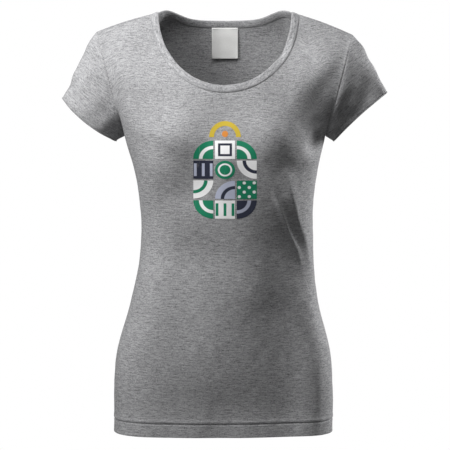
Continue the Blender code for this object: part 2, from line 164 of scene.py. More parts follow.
def top_points(facing, across):
    """Points of a panel's shoulders and neckline, and the directions in which its columns reach them."""
    drop, reach, lean = NECK[facing]
    angle = np.pi * np.clip((across - SHOULDER_SHARE) / (1 - 2 * SHOULDER_SHARE), 0, 1)
    sine = np.clip(np.sin(angle), 0, 1)
    neck = np.stack((NECK_WIDTH / 2 * np.cos(angle), facing * reach * sine, -drop * sine), axis=-1)
    leaning = np.full_like(angle, -facing * lean)
    neck_arrival = unit(np.stack((-0.9 * np.cos(angle), leaning, 0.3 + 0.62 * sine), axis=-1))
    from_side = np.minimum(across, 1 - across)
    along = np.clip(from_side / SHOULDER_SHARE, 0, 1)[..., None]
    plus = np.array((SHOULDER_WIDTH / 2, 0, -RIGHT_SHOULDER_DROP))
    minus = np.array((-SHOULDER_WIDTH / 2, 0, -LEFT_SHOULDER_DROP))
    tip = np.where(across[..., None] < 0.5, plus, minus)
    crown = np.array((0, 0, SHOULDER_CROWN)) * 4 * along * (1 - along)
    on_seam = (from_side < SHOULDER_SHARE)[..., None]
    points = np.where(on_seam, between(tip, neck, along) + crown, neck)
    seam_arrival = unit(np.array((0, -facing * 0.85, 0.5)))
    neck_share = smooth((from_side - SHOULDER_SHARE / 4) / (1.5 * SHOULDER_SHARE))[..., None]
    return points, unit(between(seam_arrival, neck_arrival, neck_share))


# The body's soft forms: middle (x, z) in the front view, half-width, half-height, and push outwards
FRONT_FORMS = (
    (-0.155, -0.110, 0.026, 0.050, 0.0080), (-0.150, -0.155, 0.022, 0.030, 0.0080),  # beside the left armhole
    (0.135, -0.184, 0.016, 0.022, -0.0220), (0.160, -0.125, 0.022, 0.045, 0.0060),  # right armpit, and above
    (-0.100, -0.055, 0.035, 0.035, -0.0085), (0.100, -0.055, 0.035, 0.035, -0.0140),  # under the shoulders
    (-0.068, -0.180, 0.050, 0.040, 0.0165), (0.068, -0.180, 0.050, 0.040, 0.0165),  # bust
    (0.000, -0.140, 0.045, 0.045, -0.0055), (0.000, -0.210, 0.025, 0.050, 0.0080),  # above it, and between
    (-0.045, -0.258, 0.058, 0.034, -0.0095), (-0.110, -0.230, 0.030, 0.040, 0.0060),  # under it, left ribs
    (0.040, -0.360, 0.050, 0.070, 0.0090), (-0.005, -0.500, 0.040, 0.120, 0.0050),  # belly, and under it
    (0.100, -0.500, 0.050, 0.150, -0.0120), (0.122, -0.410, 0.025, 0.050, 0.0050),  # right hip
    (-0.115, -0.400, 0.035, 0.090, 0.0085), (-0.045, -0.470, 0.060, 0.160, 0.0042),  # left hip
    (0.000, -0.580, 0.120, 0.035, -0.0040),  # over the hem
)
BACK_FORMS = ((-0.142, -0.080, 0.042, 0.050, 0.012), (0.142, -0.080, 0.042, 0.050, 0.012))  # shoulder blades
SIDE_BLEND = 0.030  # the forms fade out over this depth towards the sides
# Behind the neck ends of the shoulders the cloth rises: how far from the middle, and half-widths in and out
NAPE_RISE, NAPE_OUT, NAPE_INNER, NAPE_OUTER = 0.0085, 0.088, 0.024, 0.013


def settled(points):
    """Moves points by the soft forms, which all pieces of the shirt share."""
    x, y, z = np.moveaxis(points, -1, 0)
    moved = np.zeros_like(y)
    for forms, facing in ((FRONT_FORMS, FRONT), (BACK_FORMS, BACK)):
        share = smooth(facing * y / SIDE_BLEND) * facing
        for middle_x, middle_z, wide, high, push in forms:
            near = np.exp(-(((x - middle_x) / wide) ** 2) - ((z - middle_z) / high) ** 2)
            moved = moved + share * push * near
    from_rise = np.abs(x) - NAPE_OUT
    rise = np.exp(-((from_rise / np.where(from_rise > 0, NAPE_OUTER, NAPE_INNER)) ** 2))
    rise = NAPE_RISE * rise * smooth(y / 0.025) * smooth((z + 0.07) / 0.06)
    return np.stack((x, y + moved, z + rise), axis=-1)


def panel_curves(facing, across, up):
    """Points of a panel as cut: across is 0 at the right side seam and 1 at the left, and up is 0 at the hem,
    1 at the armpits and 2 at the shoulders and the neck."""
    lower = section_points(facing, across, np.clip(1 - up, 0, 1))
    start = section_points(facing, across, np.zeros_like(across))
    just_below = section_points(facing, across, np.full_like(across, 0.02))
    end, arrival = top_points(facing, across)
    length = np.linalg.norm(end - start, axis=-1, keepdims=True)
    start_pull, end_pull, rise = unit(start - just_below) * length, arrival * length, end - start
    swing = np.array((0, 4 * facing * ARMHOLE_REACH, 0))
    armhole_share = np.clip(1 - 8 * np.minimum(across, 1 - across), 0, 1)[..., None] ** 2
    start_pull = between(start_pull, rise * 0.5 + swing, armhole_share)
    end_pull = between(end_pull, rise * 0.4 - swing, armhole_share)
    upper = pulled_curve(start, start_pull, end, end_pull, np.clip(up - 1, 0, 1)[..., None])
    return np.where((up > 1)[..., None], upper, lower)


GRID_COLUMNS, GRID_ROWS = 192, 120
SPANNING_STEPS, EVENING_STEPS, SHORTEST_STEP = 4000, 600, 0.0002
grid_across = (1 - np.cos(np.pi * np.linspace(0, 1, GRID_COLUMNS + 1))) / 2
grid_up = np.linspace(0, 2, GRID_ROWS + 1)


def relaxed(facing):
    """A grid of a panel's points. Over the chest the cloth spans the hollows beside the armholes, as when
    stretched, and over the shoulders it is evened out."""
    across, up = np.meshgrid(grid_across, grid_up)
    grid = panel_curves(facing, across, up)
    chest = slice(GRID_ROWS // 2 + 1, None)
    out, steps = facing * grid[chest, :, 1], np.maximum(-np.diff(grid[chest, :, 0], axis=1), SHORTEST_STEP)
    place = steps[:, :-1] / (steps[:, :-1] + steps[:, 1:])
    spanned = out.copy()
    for _ in range(SPANNING_STEPS):
        straight = between(spanned[:, :-2], spanned[:, 2:], place)
        spanned[:, 1:-1] = np.maximum(spanned[:, 1:-1], straight)
    grid[chest, :, 1] = facing * between(out, spanned, smooth((2 - up[chest]) / 0.4))
    even = smooth((0.32 - np.minimum(across, 1 - across)) / 0.16) * smooth((up - 1) / 0.25)
    edge_share = smooth((grid_up - 1) / 0.2) * smooth((2 - grid_up) / 0.2)
    for _ in range(EVENING_STEPS):
        mean = (grid[:-2, 1:-1] + grid[2:, 1:-1] + grid[1:-1, :-2] + grid[1:-1, 2:]) / 4
        grid[1:-1, 1:-1] = between(grid[1:-1, 1:-1], mean, even[1:-1, 1:-1, None])
        for edge, second, third in ((0, 1, 2), (-1, -2, -3)):
            straight = (grid[:, second, 1] * 4 - grid[:, third, 1]) / 3
            grid[:, edge, 1] = between(grid[:, edge, 1], straight, edge_share)
    return grid


def cubic_shares(into):
    """The shares of the four values round a place, for a smooth curve through them."""
    return (
        ((2 - into) * into - 1) * into / 2,
        ((3 * into - 5) * into * into + 2) / 2,
        ((4 - 3 * into) * into + 1) * into / 2,
        (into - 1) * into * into / 2,
    )


def sampled(grid, row, column):
    """The grid's values at these rows and columns, smoothly between its places."""
    first_row = np.clip(np.floor(row).astype(int), 0, GRID_ROWS - 1)
    first_column = np.clip(np.floor(column).astype(int), 0, GRID_COLUMNS - 1)
    total = 0
    for row_step, row_share in enumerate(cubic_shares(row - first_row), -1):
        rows = np.clip(first_row + row_step, 0, GRID_ROWS)
        for column_step, column_share in enumerate(cubic_shares(column - first_column), -1):
            columns = np.clip(first_column + column_step, 0, GRID_COLUMNS)
            total = total + (row_share * column_share)[..., None] * grid[rows, columns]
    return total


panel_grids = {}
for facing in (FRONT, BACK):
    grid = settled(relaxed(facing))
    outward = grid * (1, 1, 0) + np.array((0, facing * 0.02, 0))
    panel_grids[facing] = grid, facing_out(np.gradient(grid, axis=1), np.gradient(grid, axis=0), outward)


def panel_base(facing, across, up, which=0):
    """Points of a panel without its folds, or its outward normals where which is 1."""
    across, up = np.broadcast_arrays(np.asarray(across, float), np.asarray(up, float))
    column = np.arccos(np.clip(1 - 2 * across, -1, 1)) / np.pi * GRID_COLUMNS
    return sampled(panel_grids[facing][which], np.clip(up, 0, 2) / 2 * GRID_ROWS, column)


# Each fold has a power, 2 for a soft fold and less for a crisp one, and points in the front view: x, z, the
# fold's height there, which is below 0 in a hollow, and its half-widths to the left and to the right
RIGHT_WAIST_FOLDS = (
    (1.3, ((0.0880, -0.226, 0.0000, 0.008, 0.014), (0.0905, -0.243, 0.0040, 0.009, 0.017),
           (0.0950, -0.269, 0.0070, 0.009, 0.019), (0.1045, -0.304, 0.0072, 0.009, 0.018),
           (0.1142, -0.334, 0.0068, 0.010, 0.015), (0.1220, -0.363, 0.0044, 0.010, 0.012),
           (0.1290, -0.400, 0.0000, 0.009, 0.010))),
    (1.6, ((0.0690, -0.256, 0.0000, 0.0034, 0.0034), (0.0770, -0.280, 0.0040, 0.0038, 0.0036),
           (0.0865, -0.305, 0.0044, 0.0038, 0.0036), (0.0944, -0.326, 0.0036, 0.0036, 0.0034),
           (0.1035, -0.346, 0.0026, 0.0036, 0.0036), (0.1104, -0.364, 0.0014, 0.0040, 0.0040),
           (0.1150, -0.382, 0.0000, 0.0045, 0.0045))),
    (2.0, ((0.1180, -0.400, 0.0000, 0.016, 0.010), (0.1260, -0.440, 0.0026, 0.020, 0.010),
           (0.1350, -0.500, 0.0030, 0.022, 0.010), (0.1370, -0.560, 0.0028, 0.022, 0.010),
           (0.1350, -0.625, 0.0020, 0.022, 0.010))),
)
RIGHT_CHEST_FOLDS = (
    (2.0, ((0.1780, -0.045, 0.0000, 0.012, 0.012), (0.1520, -0.073, 0.0020, 0.013, 0.014),
           (0.1270, -0.100, 0.0024, 0.015, 0.016), (0.1027, -0.128, 0.0020, 0.015, 0.016),
           (0.0800, -0.160, 0.0000, 0.017, 0.016))),
    (2.0, ((0.1742, -0.072, 0.0000, 0.010, 0.010), (0.1565, -0.097, -0.0012, 0.011, 0.011),
           (0.1360, -0.125, -0.0018, 0.012, 0.012), (0.1173, -0.156, -0.0018, 0.013, 0.012),
           (0.0973, -0.190, 0.0000, 0.014, 0.012))),
    (2.0, ((0.1771, -0.105, 0.0000, 0.010, 0.010), (0.1612, -0.135, 0.0014, 0.010, 0.010),
           (0.1480, -0.160, 0.0000, 0.010, 0.010))),
    (2.0, ((0.1480, -0.160, 0.0000, 0.009, 0.007), (0.1390, -0.178, -0.0050, 0.010, 0.008),
           (0.1310, -0.192, -0.0040, 0.010, 0.009), (0.1210, -0.212, 0.0000, 0.012, 0.009))),
)
LEFT_FOLDS = (
    (2.0, ((-0.1500, -0.165, 0.0000, 0.010, 0.010), (-0.1150, -0.192, -0.0022, 0.014, 0.014),
           (-0.0850, -0.212, -0.0026, 0.018, 0.018), (-0.0480, -0.236, 0.0000, 0.018, 0.018))),
    (2.0, ((-0.1460, -0.120, 0.0000, 0.008, 0.010), (-0.1330, -0.158, 0.0014, 0.009, 0.012),
           (-0.1250, -0.200, 0.0016, 0.010, 0.014), (-0.1230, -0.245, 0.0000, 0.010, 0.014))),
)
FRONT_FOLDS = RIGHT_WAIST_FOLDS + RIGHT_CHEST_FOLDS + LEFT_FOLDS
BACK_FOLDS = (
    (1.8, ((-0.0900, -0.300, 0.0000, 0.010, 0.008), (-0.0300, -0.322, 0.0028, 0.012, 0.009),
           (0.0350, -0.330, 0.0030, 0.012, 0.009), (0.0950, -0.315, 0.0000, 0.010, 0.008))),
    (1.8, ((-0.1000, -0.360, 0.0000, 0.010, 0.009), (-0.0400, -0.348, 0.0022, 0.012, 0.010),
           (0.0200, -0.352, 0.0024, 0.012, 0.010), (0.0850, -0.372, 0.0000, 0.010, 0.009))),
    (2.0, ((0.1500, -0.110, 0.0000, 0.010, 0.010), (0.1000, -0.165, 0.0030, 0.014, 0.014),
           (0.0600, -0.230, 0.0000, 0.016, 0.016))),
    (2.0, ((-0.1500, -0.105, 0.0000, 0.010, 0.010), (-0.1050, -0.160, 0.0030, 0.014, 0.014),
           (-0.0650, -0.225, 0.0000, 0.016, 0.016))),
)


def fold_height(folds, x, z):
    """The summed height of these folds at each place of the front view."""
    total = np.zeros_like(x)
    for power, points in folds:
        points = np.array(points)
        best = np.full_like(x, 1e9)
        height, left, right = np.zeros_like(x), np.ones_like(x), np.ones_like(x)
        offset = np.zeros_like(x)
        for first, last in zip(points[:-1], points[1:]):
            way = last[:2] - first[:2]
            share = np.clip(((x - first[0]) * way[0] + (z - first[1]) * way[1]) / (way @ way), 0, 1)
            dx, dz = x - first[0] - share * way[0], z - first[1] - share * way[1]
            away = np.hypot(dx, dz)
            nearer = away < best
            best = np.where(nearer, away, best)
            steep_turn = np.sign(-way[1]) if abs(way[1]) > abs(way[0]) else 1
            side = np.sign(dz * way[0] - dx * way[1]) * steep_turn
            offset = np.where(nearer, away * side, offset)
            height = np.where(nearer, between(first[2], last[2], share), height)
            left = np.where(nearer, between(first[3], last[3], share), left)
            right = np.where(nearer, between(first[4], last[4], share), right)
        total += height * np.exp(-((np.abs(offset) / np.where(offset > 0, right, left)) ** power))
    return total


WAVES = np.random.default_rng(7).uniform(-1, 1, (26, 4))


def ripple(x, y, z, size):
    """A smooth random height about 0, whose waves are about this long."""
    total = np.zeros_like(x)
    for wave in WAVES:
        way = wave[:3] / size * 2.2
        total += np.sin(2 * np.pi * (x * way[0] + y * way[1] + z * way[2] + wave[3] * 3))
    return total / math.sqrt(len(WAVES) / 2)


def seam_swell(distance):
    """The cloth dips to its seam and swells a little beside it."""
    return 0.0002 * (1 - np.exp(-((distance / 0.0020) ** 2))) * np.exp(-distance / 0.009)


def puckers(along, pitch, wander, distance, height, reach):
    """Small gathers that a seam draws up at this pitch along it, and that fade over this reach from it."""
    gathers = height * np.sin(2 * np.pi * along / pitch + wander)
    return gathers * smooth(distance / 0.003) * np.exp(-distance / reach)


# The cloth lies flat near its side seams and its top edge, and elsewhere its surface waves (height, length)
SIDE_FLAT, TOP_FLAT = 0.009, 0.012
WAVES_OF_CLOTH = ((0.0004, 0.16), (0.00012, 0.05))
HEM_WAVE, HEM_WAVE_LENGTH, HEM_WAVE_REACH = 0.0010, 0.11, 0.05
# The hem's upper edge shows as a groove with a ridge over it: height, distance from the edge, and half-height
HEM_GROOVE, HEM_RIDGE = (-0.0009, -0.0012, 0.0011), (0.0006, 0.0022, 0.0022)


def panel_points(facing, across, up, lift=0.0):
    """Points of a panel with its folds, moved out by lift, and its outward normals without them."""
    across, up = np.broadcast_arrays(np.asarray(across, float), np.asarray(up, float))
    base, normals = panel_base(facing, across, up), unit(panel_base(facing, across, up, 1))
    edges = panel_base(facing, across * 0, up), panel_base(facing, across * 0 + 1, up)
    side = np.minimum(*(np.linalg.norm(base - edge, axis=-1) for edge in edges))
    top, _ = top_points(facing, across)
    to_top = np.linalg.norm(base - top, axis=-1)
    shoulder = np.where(np.minimum(across, 1 - across) < SHOULDER_SHARE, to_top, 1.0)
    free = (1 - np.exp(-((side / SIDE_FLAT) ** 2))) * (1 - np.exp(-((to_top / TOP_FLAT) ** 2)))
    x, y, z = np.moveaxis(base, -1, 0)
    height = fold_height(FRONT_FOLDS if facing == FRONT else BACK_FOLDS, x, z) * free
    for rise, length in WAVES_OF_CLOTH:
        height += rise * ripple(x, y, z, length) * free
    above_hem = up * SIDE_LENGTH
    hem_wave = HEM_WAVE * ripple(x, y * 0.3, 0 * z, HEM_WAVE_LENGTH)
    height += hem_wave * np.exp(-above_hem / HEM_WAVE_REACH) * free
    for rise, over_edge, reach in (HEM_GROOVE, HEM_RIDGE):
        height += rise * np.exp(-(((above_hem - HEM_DEPTH - over_edge) / reach) ** 2))
    height += seam_swell(side) + seam_swell(shoulder)
    wander = ripple(x, y, z, 0.04)
    height += puckers(z, 0.0085, 3 * wander, side, 0.00035, 0.007) * smooth((up - 1) * 4)
    height += puckers(x, 0.0080, 2 * wander, shoulder, 0.00025, 0.006)
    return base + normals * (height + lift)[..., None], normals


def linked(name, data):
    """Makes an object of this data and adds it to the scene."""
    made = bpy.data.objects.new(name, data)
    bpy.context.scene.collection.objects.link(made)
    return made


def cloth_mesh(name, points, cloth, closed=False, caps=False):
    """Makes an object from rows and columns of points; cloth holds each point's place on the flat cloth in
    metres, closed joins the last column to the first, and caps closes the first and last rows."""
    rows, columns, _ = points.shape
    grid = bmesh.new()
    grid.loops.layers.uv.new("cloth")
    bmesh.ops.create_grid(grid, x_segments=columns - 1, y_segments=rows - 1, size=1, calc_uvs=True)
    mesh = bpy.data.meshes.new(name)
    grid.to_mesh(mesh)
    mesh.vertices.foreach_set("co", points.astype(np.float32).ravel())
    corner = np.empty(len(mesh.loops), np.int32)
    mesh.loops.foreach_get("vertex_index", corner)
    flat = np.stack(np.broadcast_arrays(*cloth), axis=-1).reshape(-1, 2)
    mesh.uv_layers["cloth"].data.foreach_set("uv", flat[corner].astype(np.float32).ravel())
    mesh.update()
    grid.clear()
    grid.from_mesh(mesh)
    if closed:
        bmesh.ops.remove_doubles(grid, verts=grid.verts, dist=1e-6)
    if caps:
        bmesh.ops.holes_fill(grid, edges=[e for e in grid.edges if e.is_boundary], sides=0)
    bmesh.ops.recalc_face_normals(grid, faces=grid.faces)
    grid.to_mesh(mesh)
    grid.free()
    mesh.shade_smooth()
    return linked(name, mesh)


def turn_outwards(made, points, normals):
    """Turns the faces of an open sheet to the side of its outward normals."""
    mesh = made.data
    face = mesh.polygons[len(mesh.polygons) // 2]
    nearest = np.linalg.norm(points.reshape(-1, 3) - np.array(face.center), axis=1).argmin()
    if Vector(normals.reshape(-1, 3)[nearest]).dot(face.normal) < 0:
        mesh.flip_normals()


def thickened(made, thickness):
    """Gives a sheet its thickness on the inside."""
    solid = made.modifiers.new("thickness", "SOLIDIFY")
    solid.thickness = thickness
    solid.offset = -1
    solid.use_even_offset = False


class Value:
    """A shader socket's value, on which sums are written as in Python."""

    def __init__(self, shade, socket):
        self.shade, self.socket = shade, socket

    def math(self, operation, *others):
        inputs = dict(enumerate((self, *others)))
        return self.shade.node("Math", {"operation": operation}, inputs)

    def __add__(self, other):
        return self.math("ADD", other)

    def __mul__(self, other):
        return self.math("MULTIPLY", other)

    def __sub__(self, other):
        return self.math("SUBTRACT", other)

    def __rsub__(self, other):
        return self * -1 + other

    def above(self, low, high):
        """0 under low, 1 over high, and a smooth step between them."""
        sockets = {0: self, 1: low, 2: high, 3: 0.0, 4: 1.0}
        return self.shade.node("MapRange", {"interpolation_type": "SMOOTHSTEP"}, sockets)

    __radd__, __rmul__ = __add__, __mul__


class Shade:
    """The nodes of a material, or of the world."""

    def __init__(self, owner):
        owner.use_nodes = True
        self.owner, self.tree = owner, owner.node_tree
        self.surface = self.tree.nodes.get("Principled BSDF")

    def join(self, value, socket):
        if isinstance(value, Value):
            self.tree.links.new(value.socket, socket)
        else:
            socket.default_value = value

    def node(self, kind, settings=(), sockets=(), out=0):
        """Adds a node of this kind with these settings and socket values, and returns one of its outputs."""
        made = self.tree.nodes.new("ShaderNode" + kind)
        for name, value in dict(settings).items():
            setattr(made, name, value)
        for name, value in dict(sockets).items():
            self.join(value, made.inputs[name])
        return Value(self, made.outputs[out])

    def mix(self, factor, first, second):
        """A colour between two, which are given as three numbers or as a value."""
        first, second = (part if isinstance(part, Value) else (*part, 1) for part in (first, second))
        return self.node("Mix", {"data_type": "RGBA"}, {0: factor, 6: first, 7: second}, out=2)

    def cloth_place(self):
        """The place on the flat cloth, and its parts across and up."""
        place = self.node("UVMap", {"uv_map": "cloth"})
        return place, *(self.node("SeparateXYZ", {}, {0: place}, out=part) for part in "XY")

    def object_place(self):
        return self.node("TexCoord", out="Object")

    def noise(self, place, scale, detail=2.0, shift=0.0, roughness=0.5):
        """Noise with this many grains in a metre across and up the cloth."""
        sockets = {"Vector": place, "Scale": (*scale, 1.0), "Location": (0, 0, shift)}
        sockets = {"Vector": self.node("Mapping", {}, sockets), "Scale": 1.0, "Detail": detail}
        return self.node("TexNoise", {"noise_dimensions": "3D"}, {**sockets, "Roughness": roughness})

    def finish(self, colour, roughness, height=None, bump=0.0005, sheen=0.0, specular=0.2):
        """Gives the finished values to the surface; height is in shares of the bump's depth in metres."""
        self.join(colour, self.surface.inputs["Base Color"])
        self.join(roughness, self.surface.inputs["Roughness"])
        self.surface.inputs["Sheen Weight"].default_value = sheen
        self.surface.inputs["Sheen Roughness"].default_value = 0.5
        self.surface.inputs["Specular IOR Level"].default_value = specular
        if height is not None:
            made = self.node("Bump", {}, {"Strength": 1.0, "Distance": bump, "Height": height})
            self.join(made, self.surface.inputs["Normal"])
        return self.owner


DARK_YARN, LIGHT_YARN = (0.075, 0.075, 0.080), (0.62, 0.62, 0.63)
WALE, COURSE = 0.00085, 0.00110  # the width and height of a stitch of the knit


def waves(place, length):
    """A sine of this wavelength over a value."""
    return (place * (2 * math.pi / length)).math("SINE")


def jersey(name, seed):
    """Heather jersey: pale and dark fibres spun together, so short streaks run along its courses."""
    shade = Shade(bpy.data.materials.new(name))
    place, across, up = shade.cloth_place()
    streak = shade.noise(place, (75, 480), 2.0, seed, 0.6)
    fine = shade.noise(place, (230, 620), 2.0, seed + 5, 0.6)
    fibre = shade.noise(place, (520, 640), 1.0, seed + 3)
    cloud = shade.noise(place, (16, 34), 2.0, seed + 7)
    fleck = shade.noise(place, (190, 560), 0.0, seed + 11).above(0.62, 0.74)
    pale = shade.noise(place, (240, 600), 0.0, seed + 17).above(0.62, 0.74)
    share = 0.5 + (streak - 0.5) * 0.85 + (fine - 0.5) * 0.7 + (fibre - 0.5) * 0.7
    share = share + (cloud - 0.5) * 0.14 - fleck * 0.08 + pale * 0.08
    colour = shade.mix(share.math("MAXIMUM", 0.0).math("MINIMUM", 1.0), DARK_YARN, LIGHT_YARN)
    knit = waves(across, WALE) * 0.25 + waves(up, COURSE) * 0.15 + streak * 1.2 + fibre * 0.8
    return shade.finish(colour, 0.95, knit, 0.00022, specular=0.0)


def spread(stops):
    """Numbers from a table of (first, last, how many steps), end to end."""
    parts = [np.linspace(first, last, count + 1)[:-1] for first, last, count in stops]
    return np.concatenate((*parts, [stops[-1][1]]))


neck_stops = np.linspace(0, 1, 165)
neck_stops = neck_stops + 0.5 * np.sin(2 * np.pi * neck_stops) / (2 * np.pi)
shoulder_stops = spread(((0, 0.12, 10), (0.12, 1, 30)))
PANEL_ACROSS = np.concatenate(
    (
        SHOULDER_SHARE * shoulder_stops[:-1],
        SHOULDER_SHARE + (1 - 2 * SHOULDER_SHARE) * neck_stops,
        1 - SHOULDER_SHARE * shoulder_stops[-2::-1],
    )
)
PANEL_UP = spread(
    (
        (0.0, 0.0035, 2), (0.0035, 0.035, 3), (0.035, 0.0605, 13), (0.0605, 0.08, 2), (0.08, 1, 92),
        (1, 1.96, 72), (1.96, 2, 6),
    )
)


def flat_places(points):
    """Each grid point's place on the flat cloth: across from the middle, and up from the lowest row."""
    wide = lengths_along(np.swapaxes(points[..., :2], 0, 1)).T
    return wide - wide[:, wide.shape[1] // 2][:, None], lengths_along(points[..., 1:])


panels = {}
for name, facing, seed in (("front_panel_cloth", FRONT, 0.0), ("back_panel_cloth", BACK, 40.0)):
    points, normals = panel_points(facing, PANEL_ACROSS[None, :], PANEL_UP[:, None])
    wide, high = flat_places(points)
    panel = cloth_mesh(name, points, (wide * (-facing), high))
    turn_outwards(panel, points, normals)
    thickened(panel, JERSEY)
    panel.data.materials.append(jersey(name + "_jersey", seed))
    panels[facing] = panel
    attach(panel, BODY)
    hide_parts(name.removesuffix("_cloth"))
front_panel, back_panel = panels[FRONT], panels[BACK]

# The sleeves are short caps of the same jersey, sewn into the armholes. Each is one piece of cloth that runs
# round the arm, falls steeply from the shoulder and has hardly any length under the arm.
UNDERARM_OUT, UNDERARM_FALL, OPENING_BACK_REACH = 0.012, 0.008, 0.052
SLEEVE_HEM_SHARE = 0.80  # how far down the sleeve its hem is stitched
# Side; how far the opening's outer tip lies out from the shoulder, under it and behind it; the opening's bow;
# how far its front reaches forward; and how near to the tip that is, 1 being midway and less nearer
SLEEVES = {
    "right": (1, 0.0515, 0.0845, 0.012, -0.003, 0.024, 0.5),
    "left": (-1, 0.0515, 0.0985, 0.000, 0.005, 0.044, 1.0),
}
SLEEVE_FOLDS = {
    "right": (
        (2.0, ((0.1930, -0.062, 0.0000, 0.008, 0.008), (0.2030, -0.092, 0.0006, 0.009, 0.009),
               (0.1960, -0.130, 0.0000, 0.009, 0.009))),
        (2.0, ((0.2080, -0.070, 0.0000, 0.007, 0.007), (0.2180, -0.100, -0.0006, 0.008, 0.008),
               (0.2080, -0.135, 0.0000, 0.008, 0.008))),
    ),
    "left": (
        (2.0, ((-0.1880, -0.075, 0.0000, 0.006, 0.006), (-0.1960, -0.112, 0.0012, 0.007, 0.007),
               (-0.1800, -0.155, 0.0000, 0.008, 0.008))),
        (2.0, ((-0.2050, -0.080, 0.0000, 0.006, 0.006), (-0.2120, -0.118, 0.0012, 0.007, 0.007),
               (-0.1960, -0.158, 0.0000, 0.008, 0.008))),
    ),
}


def sleeve_base(side_name, around, along):
    """Points of a sleeve without its folds: around runs from the underarm over the front, and along from the
    armhole."""
    side, tip_out, tip_fall, tip_back, bow, front_reach, skew = SLEEVES[side_name]
    around, along = np.broadcast_arrays(np.asarray(around, float) % 1.0, np.asarray(along, float))
    edge = np.full_like(around, 0.0 if side > 0 else 1.0)
    front = panel_base(FRONT, edge, 1 + np.clip(2 * around, 0, 1))
    back = panel_base(BACK, edge, 1 + np.clip(2 - 2 * around, 0, 1))
    armhole = np.where((around <= 0.5)[..., None], front, back)
    at_edge = np.array((0.0 if side > 0 else 1.0,))
    shoulder, armpit = panel_base(FRONT, at_edge, 2.0)[0], panel_base(FRONT, at_edge, 1.0)[0]
    tip = shoulder + np.array((side * tip_out, tip_back, -tip_fall))
    corner = armpit + np.array((side * UNDERARM_OUT, 0, -UNDERARM_FALL))
    middle, half = (tip + corner) / 2, (tip - corner) / 2
    outwards = unit(np.array((side * half[2], 0, -side * half[0])))
    angle = np.pi + 2 * np.pi * around[..., None]
    from_tip = ((1 - np.cos(angle)) / 2) ** skew
    forward = -front_reach * 2 * np.sqrt(from_tip * (1 - from_tip))
    depth = np.where(np.sin(angle) < 0, forward, np.sin(angle) * OPENING_BACK_REACH)
    opening = middle + np.cos(angle) * half + depth * np.array((0, 1, 0))
    opening = opening + np.sin(angle) ** 2 * outwards * bow
    upward = (1 + np.cos(angle)) / 2
    top_leave, low_leave = np.array((side * 0.68, 0, -0.73)), np.array((side * 0.8, 0, -0.6))
    tip_arrive = np.array((side * 0.50, 0, -0.87))
    length = np.linalg.norm(opening - armhole, axis=-1, keepdims=True)
    leave = between(low_leave, top_leave, upward) * length
    arrive = between(low_leave, tip_arrive, upward) * length
    return pulled_curve(armhole, leave, opening, arrive, along[..., None])


def sleeve_points(side_name, around, along, lift=0.0):
    """Points of a sleeve with its folds, moved out by lift, and its outward normals without them."""
    around, along = np.broadcast_arrays(np.asarray(around, float), np.asarray(along, float))
    base = sleeve_base(side_name, around, along)
    step = 0.004
    round_it = sleeve_base(side_name, around + step, along) - sleeve_base(side_name, around - step, along)
    down_it = sleeve_base(side_name, around, np.clip(along + step, 0, 1)) - sleeve_base(
        side_name, around, np.clip(along - step, 0, 1)
    )
    all_round = np.linspace(0, 1, 24, endpoint=False)[:, None]
    centre = sleeve_base(side_name, all_round, along[:, 0]).mean(axis=0)
    normals = facing_out(round_it, down_it, base - centre[:, None, :])
    armhole = sleeve_base(side_name, around, along * 0)
    opening = sleeve_base(side_name, around, along * 0 + 1)
    seam = np.linalg.norm(base - armhole, axis=-1)
    to_hem = np.linalg.norm(base - opening, axis=-1)
    x, y, z = np.moveaxis(base, -1, 0)
    free = 1 - np.exp(-((seam / 0.008) ** 2))
    height = np.where(y < 0, fold_height(SLEEVE_FOLDS[side_name], x, z), 0) * free
    height += 0.0007 * ripple(x, y, z, 0.07) * free + seam_swell(seam)
    hem = np.linalg.norm(opening - armhole, axis=-1) * (1 - SLEEVE_HEM_SHARE)
    height -= 0.0002 * np.exp(-(((to_hem - hem) / 0.0012) ** 2)) * smooth(hem / 0.006)
    height += puckers(z, 0.0075, 2.5 * ripple(x, y, z, 0.05), seam, 0.00035, 0.006)
    return base + normals * (height + lift)[..., None], normals


SLEEVE_AROUND = np.linspace(0, 1, 193)
SLEEVE_ALONG = spread(((0, 0.10, 6), (0.10, 0.74, 32), (0.74, 0.86, 10), (0.86, 1, 8)))
SLEEVE_MIDDLE_ROW = 30  # its length round the arm gives the cloth's width
sleeves = {}
for side_name, seed in (("right", 80.0), ("left", 120.0)):
    points, normals = sleeve_points(side_name, SLEEVE_AROUND[None, :], SLEEVE_ALONG[:, None])
    around, down = lengths_along(points[SLEEVE_MIDDLE_ROW]), lengths_along(points)
    sleeve = cloth_mesh(side_name + "_sleeve_cloth", points, (around[None, :], down[-1] - down), closed=True)
    turn_outwards(sleeve, points, normals)
    thickened(sleeve, JERSEY)
    sleeve.data.materials.append(jersey(side_name + "_sleeve_jersey", seed))
    sleeves[side_name] = sleeve
    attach(sleeve, BODY)
    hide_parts(side_name + "_sleeve")

# The neck binding is a strip of jersey folded round the cut edge of the neck and topstitched. It stands a
# little proud of the cloth as a soft roll, with a fine shadow along its outer edge.
BINDING_WIDTH, BINDING_THICKNESS, BINDING_LAP = 0.0104, 0.0034, 0.0018
NECK_ROUND = 0.80  # about the length of the line round the neck
EDGE_EASE, NORMAL_EASE, INWARD_EASE = 0.0045, 0.012, 0.009  # how far the seams' corners are rounded off


def rounded(values, reach):
    """Values along the closed neck line, each averaged with its neighbours within this reach in metres."""
    step = NECK_ROUND / len(values)
    steps = int(math.ceil(3 * reach / step))
    offsets = np.arange(-steps, steps + 1)
    weights = np.exp(-((offsets * step / reach) ** 2))
    total = sum(weight * np.roll(values, offset, axis=0) for weight, offset in zip(weights, offsets))
    return total / weights.sum()


